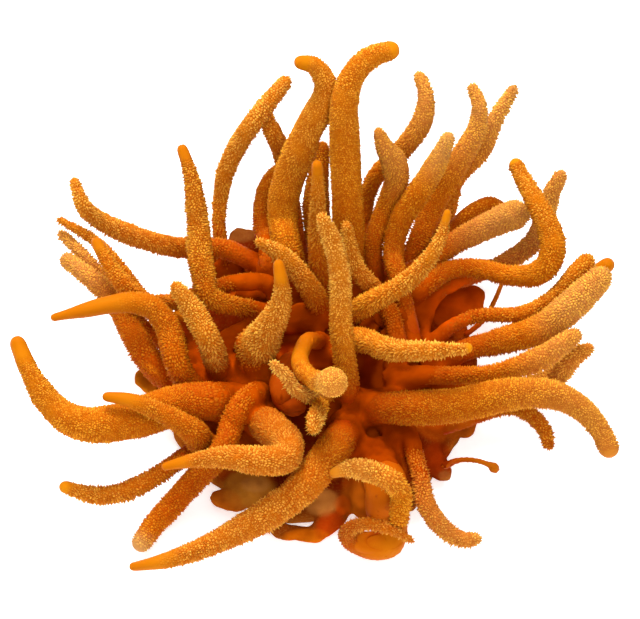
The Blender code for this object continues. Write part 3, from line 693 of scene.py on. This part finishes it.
def grain_rows(name, look, line, along, profile, from_pad, seed):
    """The rows of grains from root to tip, as numbers for each grain and triangles between the rows."""
    smooth_tip, pitch, grain_height, paleness = look
    frames = carried_frames(line)
    surface = np.concatenate([[0], np.cumsum(np.hypot(np.diff(along), np.diff(profile)))])
    slope = np.gradient(profile, along)
    from_tip = along[-1] - along
    total = surface[-1]
    gather = {key: [] for key in (*SHAPE_NUMBERS, *LEVELS)}
    triangles = []
    previous = None
    at, start, row_number = 0.0, 0, 0
    while at < total:
        radius, stem, tip = (np.interp(at, surface, values) for values in (profile, from_pad, from_tip))
        grainy = 1.0
        if smooth_tip > 0:
            low, high = SMOOTH_TIP_RANGE
            grainy = float(step_up_mm((smooth_tip * low, smooth_tip * high), tip))
        begun = float(step_up(*GRAINS_FROM[name], at / total)) if name in GRAINS_FROM else 1.0
        grown = float(step_up_mm(STEM_GROWTH, stem)) * begun
        spacing = pitch * (1 + (STEM_PITCH * MM / pitch - 1) * (1 - grown))
        count = int(round(TURN * radius / spacing))
        if row_number == 0:
            count = 1
        elif count < FEWEST:
            count = 1 if total - at < spacing * LAST_ROW else FEWEST
        angle = TURN * (np.arange(count) + 0.5 * (row_number % 2)) / count
        loose = STRAY_ROUND * grainy * (count > STEADY)
        angle = np.sort(angle + random.uniform(-1, 1, count) * loose * TURN / count)
        shift = random.uniform(-1, 1, count) * loose * spacing * STRAY_ALONG
        where = np.clip(at + shift, 0, total)
        centre_here, tangent_here, side_here, other_here = (
            np.stack([np.interp(where, surface, values[:, k]) for k in range(3)], axis=1)
            for values in (line, *frames))
        radius_here = np.interp(where, surface, profile)
        radial = side_here * np.cos(angle)[:, None] + other_here * np.sin(angle)[:, None]
        lean = np.arctan(-np.interp(where, surface, slope))
        out = radial * np.cos(lean)[:, None] + tangent_here * np.sin(lean)[:, None]
        if count == 1:
            out = tangent_here * (1 if row_number else -1)
            radius_here = radius_here * 0
        size = random.uniform(*SIZE_RANGE, count)**SIZE_POWER
        size = size + LARGE_EXTRA * (random.random(count) < LARGE_SHARE)
        under = np.clip(UNDERSIDE - out[:, 2], 0, 1)
        size *= 1 + (UNDERSIDE_EXTRA[0] + UNDERSIDE_EXTRA[1] * paleness) * under
        leaning = out + random.normal(0, LEAN_SPREAD, (count, 3)) * grainy
        places = centre_here + radial * radius_here[:, None]
        patchy = np.array([noise.noise(seed + Vector(point) / PATCHY_SPOT) for point in places])
        rough = grainy * (FOOT_ROUGHNESS + (1 - FOOT_ROUGHNESS) * grown)
        rough = rough * np.clip(1 + PATCHY_HEIGHT * patchy, *PATCHY_RANGE) * begun
        sunk = np.maximum(radius_here - grain_height * SUNK * rough, 0)
        gather["base"].append(centre_here + radial * sunk[:, None])
        gather["out"].append(out)
        gather["spike"].append(leaning / np.linalg.norm(leaning, axis=1, keepdims=True))
        gather["height"].append(grain_height * size * rough)
        gather["depth"].append(grain_height * random.uniform(*DEPTH_RANGE, count) * rough)
        gather["sharp"].append(rough)
        gather["tone"].append(np.clip(random.uniform(*TONE_RANGE, count) * (1 + PATCHY_TONE * patchy), 0, 1))
        gather["stem"].append(np.full(count, stem / MM))
        gather["tip"].append(np.full(count, tip / (max(smooth_tip, SHORTEST_TIP) * MM)))
        gather["share"].append(np.full(count, at / total))
        if previous is not None:
            triangles += zip_rows(*previous, angle, start)
        previous = (angle, start)
        start += count
        row_number += 1
        at += spacing * ROW_STEP
    ends = {"base": line[-1], "out": frames[0][-1], "spike": frames[0][-1], "height": 0.0, "depth": 0.0,
            "sharp": 0.0, "tone": 0.5, "stem": from_pad[-1] / MM, "tip": 0.0, "share": 1.0}
    for key, value in ends.items():
        gather[key].append(np.array([value]))
    triangles += zip_rows(*previous, np.array([0.0]), start)
    return {key: np.concatenate(values) for key, values in gather.items()}, triangles


def finger(name, node, pad_tree):
    """The grainy skin of one finger, and its stem as (line, radii) for the fused base."""
    smooth_tip, pitch, grain_height, paleness = LOOKS.get(name, PLAIN)
    look = (smooth_tip, pitch * PITCH_SCALE * MM, grain_height * HEIGHT_SCALE * MM, paleness)
    line, wide, along, seed = finger_line(name, node)
    tip_length = min(wide[-1] * TIP_RADII, along[-1] * TIP_SHARE)
    to_tip = np.clip((along - (along[-1] - tip_length)) / tip_length, 0, 1)
    profile = wide * np.sqrt(np.maximum(1 - to_tip**TIP_BLUNTNESS, 0))
    from_pad = distance_from_pad(line, pad_tree)
    brighter = from_pad * BRIGHT_ROOTS.get(name, 1.0)
    numbers, triangles = grain_rows(name, look, line, along, profile, brighter, seed)
    vertices, faces, is_peak, levels = grain_skin(numbers, triangles)

    upper = step_up(*PALE_RANGES.get(name, PALE_RANGE), levels["share"])
    cap = PALE_CAPS.get(name, 0.0) * step_up(*CAP_RANGE, levels["share"])
    everywhere = np.ones(len(vertices))
    attributes = {
        "grain": is_peak * levels["tone"] * np.clip(levels["sharp"], 0, 1),
        "rough": levels["sharp"],
        "stem": levels["stem"],
        "tip": levels["tip"],
        "pale": np.minimum(paleness * (LOWER_PALENESS + (1 - LOWER_PALENESS) * upper) + cap, 1),
        "dark": everywhere * DARKNESS.get(name, 0.0),
        "dust": DUST.get(name, 0.0) * upper,
        "glossy": everywhere * min(1.0, max(0.0, (smooth_tip - 1) / 2)),
    }
    made = skin_object(
        name.replace("finger_", "skin_").replace("thread_", "skin_thread_"), vertices, faces, attributes,
        len(numbers["base"]), levels["sharp"] > SHARP_FROM)

    reach = LINE_SAMPLES // 2
    if (from_pad > STEM_REACH * MM).any():
        reach = int(np.searchsorted(from_pad, STEM_REACH * MM))
    share = np.linspace(0, 1, STEM_POINTS)
    picked = (share * max(reach, FEWEST_REACH)).astype(int).clip(0, LINE_SAMPLES - 1)
    flare = 1.0 + STEM_FLARE * (1 - share)**2 - STEM_NECK * share**2
    return made, (line[picked], wide[picked] * flare)


def stem_tube(shell, line, radii):
    """Adds a closed tube to the bmesh."""
    _, side, other = carried_frames(line)
    rings = []
    for k in range(len(line)):
        ring = []
        for corner in range(TUBE_SIDES):
            angle = TURN * corner / TUBE_SIDES
            place = line[k] + (side[k] * math.cos(angle) + other[k] * math.sin(angle)) * radii[k]
            ring.append(shell.verts.new(place))
        rings.append(ring)
    for first, second in zip(rings, rings[1:]):
        for k in range(TUBE_SIDES):
            after = (k + 1) % TUBE_SIDES
            shell.faces.new((first[k], first[after], second[after], second[k]))
    shell.faces.new(rings[0][::-1])
    shell.faces.new(rings[-1])


def limb(thick, points):
    """A low limb of flesh between the roots, as (line, radii)."""
    places = np.array([seen_at(*point) for point in points])
    width = np.interp(np.linspace(0, 1, len(points)), np.linspace(0, 1, len(thick)), thick) * VIEW_STEP / 2
    samples, _ = smooth_through(np.concatenate([places, width[:, None]], axis=1), LIMB_SAMPLES)
    along = np.abs(np.linspace(-1, 1, LIMB_SAMPLES))
    ends = np.sqrt(np.clip(1 - along**LIMB_ROUNDING, LIMB_END, 1))
    return samples[:, :3], samples[:, 3] * ends


def remade(shell):
    """The bmesh's overlapping parts as one eased skin of even fineness."""
    mesh = bpy.data.meshes.new("base")
    shell.to_mesh(mesh)
    shell.free()
    made = linked("base", mesh)
    fuse = made.modifiers.new("fuse", "REMESH")
    fuse.mode = "VOXEL"
    fuse.voxel_size = VOXEL_SIZE
    ease = made.modifiers.new("ease", "SMOOTH")
    ease.factor = EASE_FACTOR
    ease.iterations = EASE_TIMES
    result = bpy.data.meshes.new_from_object(made.evaluated_get(bpy.context.evaluated_depsgraph_get()))
    bpy.data.objects.remove(made)
    bpy.data.meshes.remove(mesh)
    result.name = "base"
    return result


def vertex_vectors(mesh, kind):
    """The places ("co") or the normals ("normal") of the mesh's vertices."""
    values = np.empty(len(mesh.vertices) * 3, dtype=np.float32)
    mesh.vertices.foreach_get(kind, values)
    return values.reshape(-1, 3).astype(float)


def distance_from_stems(place, stems):
    """How far each place is off the skin of the nearest stem."""
    axis = np.concatenate([line for line, _ in stems])
    thick = np.concatenate([radii for _, radii in stems])
    off = []
    for start in range(0, len(place), CHUNK):
        part = place[start:start + CHUNK]
        gap = np.linalg.norm(part[:, None, :] - axis[None, :, :], axis=2) - thick[None, :]
        off.append(gap.min(axis=1))
    return np.concatenate(off)


def lump(spot):
    """How high in mm the lumps of the base are at that place."""
    return sum(height * noise.noise(spot / width) for height, width in LUMPS)


def patch_colours_shade_and_light(place, bump):
    """The patches of other colour, with painted shade and painted light among them, as red, green, blue and
    strength for each place.
    """
    across, down = on_view(place)
    tint = np.zeros((len(place), 4))
    for x, y, half_width, half_height, colour, strength in COLOUR_SHADE_AND_LIGHT_PATCHES:
        off_centre = np.hypot((across - x) / half_width, (down - y) / half_height)
        amount = strength * (1 - step_up(*PATCH_RIM, off_centre + PATCH_RAGGED * bump))
        share = amount / np.maximum(amount + tint[:, 3], LEAST)
        tint[:, :3] += (np.array(colour) - tint[:, :3]) * share[:, None]
        tint[:, 3] = np.maximum(tint[:, 3], amount)
    return tint


def fused_base(pad, stems):
    """The pad and the feet of the fingers grown together into one lumpy mass."""
    shell = bmesh.new()
    shell.from_mesh(pad.data)
    bmesh.ops.remove_doubles(shell, verts=shell.verts, dist=SAME_PLACE)
    for vert in shell.verts:
        vert.co.z -= DOME_DROP * MM * float(step_up_mm(DROP_RANGE, vert.co.z))
    stems = [*stems, *(limb(thick, points) for thick, points in CORE)]
    for line, radii in stems:
        stem_tube(shell, line, radii)
    mesh = remade(shell)
    place = vertex_vectors(mesh, "co")
    normal = vertex_vectors(mesh, "normal")
    off = distance_from_stems(place, stems)
    bump = np.array([lump(Vector(point)) for point in place])
    place += normal * (bump * MM * step_up(0.0, LUMPS_FADE * MM, place[:, 2]))[:, None]
    place[:, 2] = np.maximum(place[:, 2], LEAST_HEIGHT)
    mesh.vertices.foreach_set("co", place.astype(np.float32).ravel())
    mesh.shade_smooth()
    # The hollows between the stems get the painted shade.
    set_numbers(mesh, "hollow", step_up_mm(HOLLOW_RANGE, off))
    set_numbers(mesh, "bump", bump * BUMP_SPREAD[0] + BUMP_SPREAD[1])
    tint = patch_colours_shade_and_light(place, bump).astype(np.float32)
    mesh.attributes.new("patch", "FLOAT_COLOR", "POINT").data.foreach_set("color", tint.ravel())
    return linked("base", mesh)


def curl_cup():
    """The smooth hollow of flesh inside the coil of the front curl."""
    middle = seen_at(*CUP_MIDDLE)
    right, up, toward = sight_frame()
    shell = bmesh.new()
    bmesh.ops.create_uvsphere(shell, u_segments=CUP_SEGMENTS[0], v_segments=CUP_SEGMENTS[1], radius=1)
    for vert in shell.verts:
        spot = vert.co.copy()
        off_dent = (spot.x - CUP_DENT_MIDDLE[0])**2 + (spot.y - CUP_DENT_MIDDLE[1])**2
        dent = 1 - CUP_DENT * max(0.0, spot.z) * math.exp(-CUP_DENT_SHARPNESS * off_dent)
        vert.co = middle + (right * spot.x * CUP_HALF[0] + up * spot.y * CUP_HALF[1]
                            + toward * spot.z * CUP_HALF[2] * dent) * MM
    mesh = bpy.data.meshes.new("curl_cup")
    shell.to_mesh(mesh)
    shell.free()
    mesh.shade_smooth()
    cup = linked("curl_cup", mesh)
    place = np.array([vert.co for vert in mesh.vertices])
    hollow = np.array(middle + up * CUP_HALF[1] * CUP_DENT_MIDDLE[1] * MM)
    off = np.linalg.norm(place - hollow, axis=1)
    set_numbers(mesh, "stem", CUP_STEM[0] + CUP_STEM[1] * step_up_mm(CUP_RIM, off))
    set_numbers(mesh, "tip", np.full(len(place), FAR_FROM_TIP))
    return cup


class Paint:
    """A material's node tree, with short ways to add the nodes that are used here."""

    def __init__(self, name):
        self.material = bpy.data.materials.new(name)
        self.material.use_nodes = True
        self.nodes = self.material.node_tree.nodes
        self.links = self.material.node_tree.links
        self.shader = self.nodes["Principled BSDF"]

    def fill(self, socket, value):
        """Links the socket to another one, or gives it a number or a colour."""
        if isinstance(value, (int, float)):
            socket.default_value = value
        elif isinstance(value, tuple):
            socket.default_value = (*value, 1)
        else:
            self.links.new(value, socket)

    def attribute(self, name):
        made = self.nodes.new("ShaderNodeAttribute")
        made.attribute_name = name
        return made.outputs["Fac"]

    def spots(self, scale, detail):
        made = self.nodes.new("ShaderNodeTexNoise")
        made.inputs["Scale"].default_value = scale
        made.inputs["Detail"].default_value = detail
        return made.outputs[0]

    def ramp(self, source, stops):
        made = self.nodes.new("ShaderNodeValToRGB")
        elements = made.color_ramp.elements
        while len(elements) < len(stops):
            elements.new(0.5)
        for element, (at, colour) in zip(elements, stops):
            element.position = at
            element.color = (*colour, 1)
        self.links.new(source, made.inputs[0])
        return made.outputs[0]

    def mix(self, kind, factor, first, second):
        made = self.nodes.new("ShaderNodeMix")
        made.data_type = "RGBA"
        made.blend_type = kind
        for socket, value in zip((made.inputs[0], made.inputs[6], made.inputs[7]), (factor, first, second)):
            self.fill(socket, value)
        return made.outputs[2]

    def work(self, operation, first, second, third=None, clamp=False):
        made = self.nodes.new("ShaderNodeMath")
        made.operation = operation
        made.use_clamp = clamp
        for socket, value in zip(made.inputs, (first, second, third)):
            if value is not None:
                self.fill(socket, value)
        return made.outputs[0]

    def finish(self, colour, roughness, others):
        """Fills the shader's sockets and gives the material."""
        self.fill(self.shader.inputs["Base Color"], colour)
        self.fill(self.shader.inputs["Roughness"], roughness)
        for name, value in others.items():
            self.shader.inputs[name].default_value = value
        return self.material


def finger_material():
    """Orange flesh, dark red near the pad partly from painted shade, with pale grain peaks and darker valleys
    that are partly painted highlight and painted shade, and a smooth bright tip.
    """
    paint = Paint("cordyceps_finger")
    rough, pale, tip = (paint.attribute(name) for name in ("rough", "pale", "tip"))
    # Dark red near the pad: partly the flesh's own colour and partly painted shade deep in the bunch.
    grown = paint.work("MULTIPLY", paint.attribute("stem"), 1 / FLESH_AND_SHADE_HEIGHT, clamp=True)
    flesh = paint.ramp(grown, FLESH_AND_SHADE_STOPS)
    mottle = paint.ramp(paint.spots(MOTTLE_SCALE, 3), MOTTLE_STOPS)
    flesh = paint.mix("MULTIPLY", MOTTLE_STRENGTH, flesh, mottle)
    flesh = paint.mix("MIX", paint.attribute("dark"), flesh, DARK_FLESH)
    # Painted shade in the valleys between the grains, partly also their own darker colour.
    shade = paint.mix("MIX", pale, VALLEY_SHADE, PALE_VALLEY_SHADE)
    valley = paint.mix("MULTIPLY", rough, flesh, shade)
    valley = paint.mix("MIX", paint.attribute("dust"), valley, DUSTY)
    # Pale peaks: partly their own colour and partly painted highlight.
    peak = paint.mix("MIX", pale, PEAK, PALE_PEAK)
    # The pale peaks fade towards the pad with the painted shade there.
    lit = paint.work("MULTIPLY", paint.attribute("grain"), paint.work("POWER", grown, PEAK_POWER))
    strength = paint.work("MULTIPLY_ADD", pale, *PEAK_STRENGTH)
    skin = paint.mix("MIX", paint.work("MULTIPLY", lit, strength, clamp=True), valley, peak)
    pits = paint.ramp(paint.spots(PIT_SCALE, 2), PIT_STOPS)
    skin = paint.mix("MULTIPLY", paint.work("MULTIPLY", rough, PIT_STRENGTH, clamp=True), skin, pits)
    near_tip = paint.work("SUBTRACT", SMOOTH_TIP_RANGE[1], tip, clamp=True)
    smooth = paint.work("MULTIPLY", near_tip, paint.attribute("glossy"))
    skin = paint.mix("MIX", paint.work("MULTIPLY", smooth, SMOOTH_TIP_STRENGTH), skin, SMOOTH_TIP)
    roughness = paint.work("MULTIPLY_ADD", smooth, *FINGER_ROUGHNESS)
    return paint.finish(skin, roughness, {
        "Subsurface Weight": 0.10,
        "Subsurface Radius": SUBSURFACE_RADIUS,
        "Subsurface Scale": SUBSURFACE_SCALE,
        "Specular IOR Level": 0.07,
        "Specular Tint": (1.0, 0.60, 0.18, 1),
    })


def base_material():
    """Orange-brown flesh, dark red in the hollows partly from painted shade, with pale blotches low down and
    patches of other colour, painted shade and painted light.
    """
    paint = Paint("cordyceps_base")
    place = paint.nodes.new("ShaderNodeNewGeometry")
    split = paint.nodes.new("ShaderNodeSeparateXYZ")
    paint.links.new(place.outputs["Position"], split.inputs[0])
    height = paint.work("MULTIPLY", split.outputs[2], 1 / BASE_HEIGHT, clamp=True)
    outer = paint.ramp(height, BASE_STOPS)
    # Painted shade, partly also the flesh's own dark red, in the hollows between the stems.
    hollow_shade = paint.ramp(height, HOLLOW_SHADE_STOPS)
    flesh = paint.mix("MIX", paint.attribute("hollow"), outer, hollow_shade)
    above = paint.work("MULTIPLY", split.outputs[2], 1 / CREAM_HEIGHT, clamp=True)
    low = paint.work("SUBTRACT", 1.0, above)
    cream = paint.work("MULTIPLY", paint.ramp(paint.spots(CREAM_SCALE, 4), CREAM_STOPS), low)
    flesh = paint.mix("MIX", paint.work("MULTIPLY", cream, CREAM_STRENGTH), flesh, CREAM)
    patch = paint.nodes.new("ShaderNodeAttribute")
    patch.attribute_name = "patch"
    flesh = paint.mix("MIX", patch.outputs["Alpha"], flesh, patch.outputs["Color"])
    flesh = paint.mix("MULTIPLY", BUMP_STRENGTH, flesh, paint.ramp(paint.attribute("bump"), BUMP_STOPS))
    return paint.finish(flesh, BASE_ROUGHNESS, {
        "Specular IOR Level": 0.0,
        "Subsurface Weight": 0.08,
        "Subsurface Radius": SUBSURFACE_RADIUS,
        "Subsurface Scale": SUBSURFACE_SCALE,
    })


def set_the_stage():
    """A plain pale floor, soft studio light from above and behind, and the camera."""
    mesh = bpy.data.meshes.new("floor")
    corners = ((-1, -1), (1, -1), (1, 1), (-1, 1))
    mesh.from_pydata([(x * FLOOR_HALF, y * FLOOR_HALF, 0) for x, y in corners], [], [(0, 1, 2, 3)])
    floor = linked("floor", mesh)
    mesh.materials.append(Paint("floor_white").finish((FLOOR_WHITE,) * 3, FLOOR_ROUGHNESS, {
        "Specular IOR Level": 0.1,
        "Emission Color": (1, 1, 1, 1),
        "Emission Strength": FLOOR_GLOW,
    }))

    world = bpy.data.worlds.new("studio")
    world.use_nodes = True
    background = world.node_tree.nodes["Background"]
    background.inputs["Color"].default_value = (1, 1, 1, 1)
    background.inputs["Strength"].default_value = WORLD_STRENGTH
    bpy.context.scene.world = world

    for name, size, power, place in LIGHTS:
        light = bpy.data.lights.new(name, "AREA")
        light.shape = "DISK"
        light.size = size
        light.energy = power
        lamp = linked(name, light)
        lamp.location = place
        lamp.rotation_euler = (Vector(LIGHT_AIM) - Vector(place)).to_track_quat("-Z", "Y").to_euler()

    toward = sight_frame()[2]
    lens = bpy.data.cameras.new("camera")
    lens.lens = LENS
    lens.sensor_width = SENSOR_WIDTH
    lens.clip_start, lens.clip_end = CLIP_RANGE
    camera = linked("camera", lens)
    camera.location = AIM + toward * EYE_DISTANCE
    camera.rotation_euler = (-toward).to_track_quat("-Z", "Y").to_euler()
    bpy.context.scene.camera = camera
    bpy.context.scene.view_settings.view_transform = "Standard"


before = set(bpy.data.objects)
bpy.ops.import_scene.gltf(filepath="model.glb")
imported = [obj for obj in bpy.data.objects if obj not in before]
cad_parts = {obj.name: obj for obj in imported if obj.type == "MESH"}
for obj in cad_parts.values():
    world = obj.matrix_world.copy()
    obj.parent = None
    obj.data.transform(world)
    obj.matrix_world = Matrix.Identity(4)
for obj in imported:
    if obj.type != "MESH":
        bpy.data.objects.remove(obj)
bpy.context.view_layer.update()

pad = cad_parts["pad"]
shell = bmesh.new()
shell.from_mesh(pad.data)
pad_tree = BVHTree.FromBMesh(shell)
shell.free()

skin = finger_material()
stems = []
for name in sorted(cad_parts):
    if name == "pad":
        continue
    piece, stem = finger(name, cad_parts[name], pad_tree)
    piece.data.materials.append(skin)
    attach(piece, "root")
    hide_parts(name)
    if name not in BRANCHES:
        stems.append(stem)

cup = curl_cup()
cup.data.materials.append(skin)
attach(cup, "root")

base = fused_base(pad, stems)
base.data.materials.clear()
base.data.materials.append(base_material())
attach(base, "root")
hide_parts("pad")

set_the_stage()
